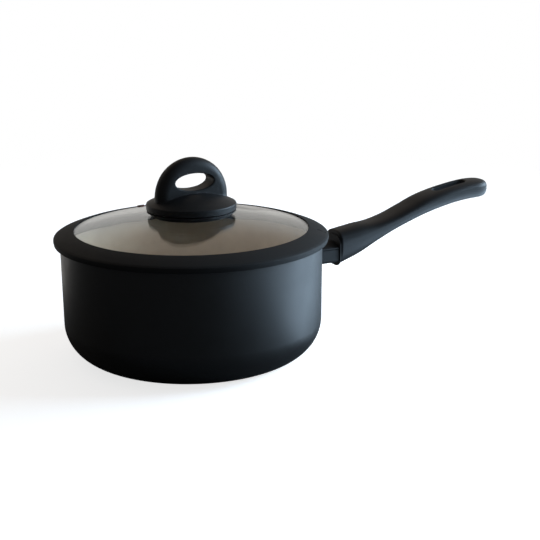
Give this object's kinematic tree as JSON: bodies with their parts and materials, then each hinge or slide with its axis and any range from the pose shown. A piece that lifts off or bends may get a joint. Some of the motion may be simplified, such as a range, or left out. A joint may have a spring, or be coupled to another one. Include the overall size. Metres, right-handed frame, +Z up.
{
  "type": "saucepan with glass lid",
  "caption": "Straight-sided saucepan with a rounded base, a long S-curved handle with a hanging slot, and a domed glass lid with a wide black rim and a finger-hole knob.",
  "frame": {"origin": "centre of the underside of the pan's base, on the surface that it stands on", "axes": "+Z up along the pan's axis, +X from the pan's axis out along the long handle, +Y completes a right-handed frame"},
  "size_m": [0.3803, 0.2096, 0.1527],
  "materials": {
    "pan_coating": "matt black enamel outside, dark brown non-stick inside",
    "base_steel": "circular brushed stainless steel",
    "bracket_metal": "cast aluminium, dark anodised",
    "rivet_metal": "satin aluminium",
    "guard_plastic": "fine matt heat-resistant moulding",
    "handle_soft_touch": "soft-touch black",
    "knob_soft_touch": "soft-touch black",
    "rim_silicone": "matt black silicone",
    "seal_rubber": "black silicone",
    "grommet_silicone": "red-brown silicone",
    "fastener_steel": "stainless steel",
    "insert_brass": "turned brass",
    "lid_glass": "clear tempered glass, polished"
  },
  "bodies": {
    "pan": {"pan_body": "pan_coating", "base_disc": "base_steel", "handle_bracket": "bracket_metal", "bracket_rivets": "rivet_metal", "flame_guard": "guard_plastic", "handle_gasket": "seal_rubber", "handle_grip": "handle_soft_touch", "handle_bush": "fastener_steel", "handle_washer": "fastener_steel", "handle_screw": "fastener_steel"},
    "lid": {"lid_glass": "lid_glass", "lid_rim_ring": "rim_silicone", "vent_eyelet": "fastener_steel", "vent_grommet": "grommet_silicone", "knob_grip": "knob_soft_touch", "knob_seat": "guard_plastic", "knob_gasket": "seal_rubber", "knob_insert": "insert_brass", "knob_seal": "seal_rubber", "knob_washer": "fastener_steel", "knob_screw": "fastener_steel"}
  },
  "joints": [
    {"name": "lid_lift", "type": "slide", "parent": "pan", "child": "lid", "axis": [0, 0, 1], "range_m": [0, 0.14]}
  ]
}
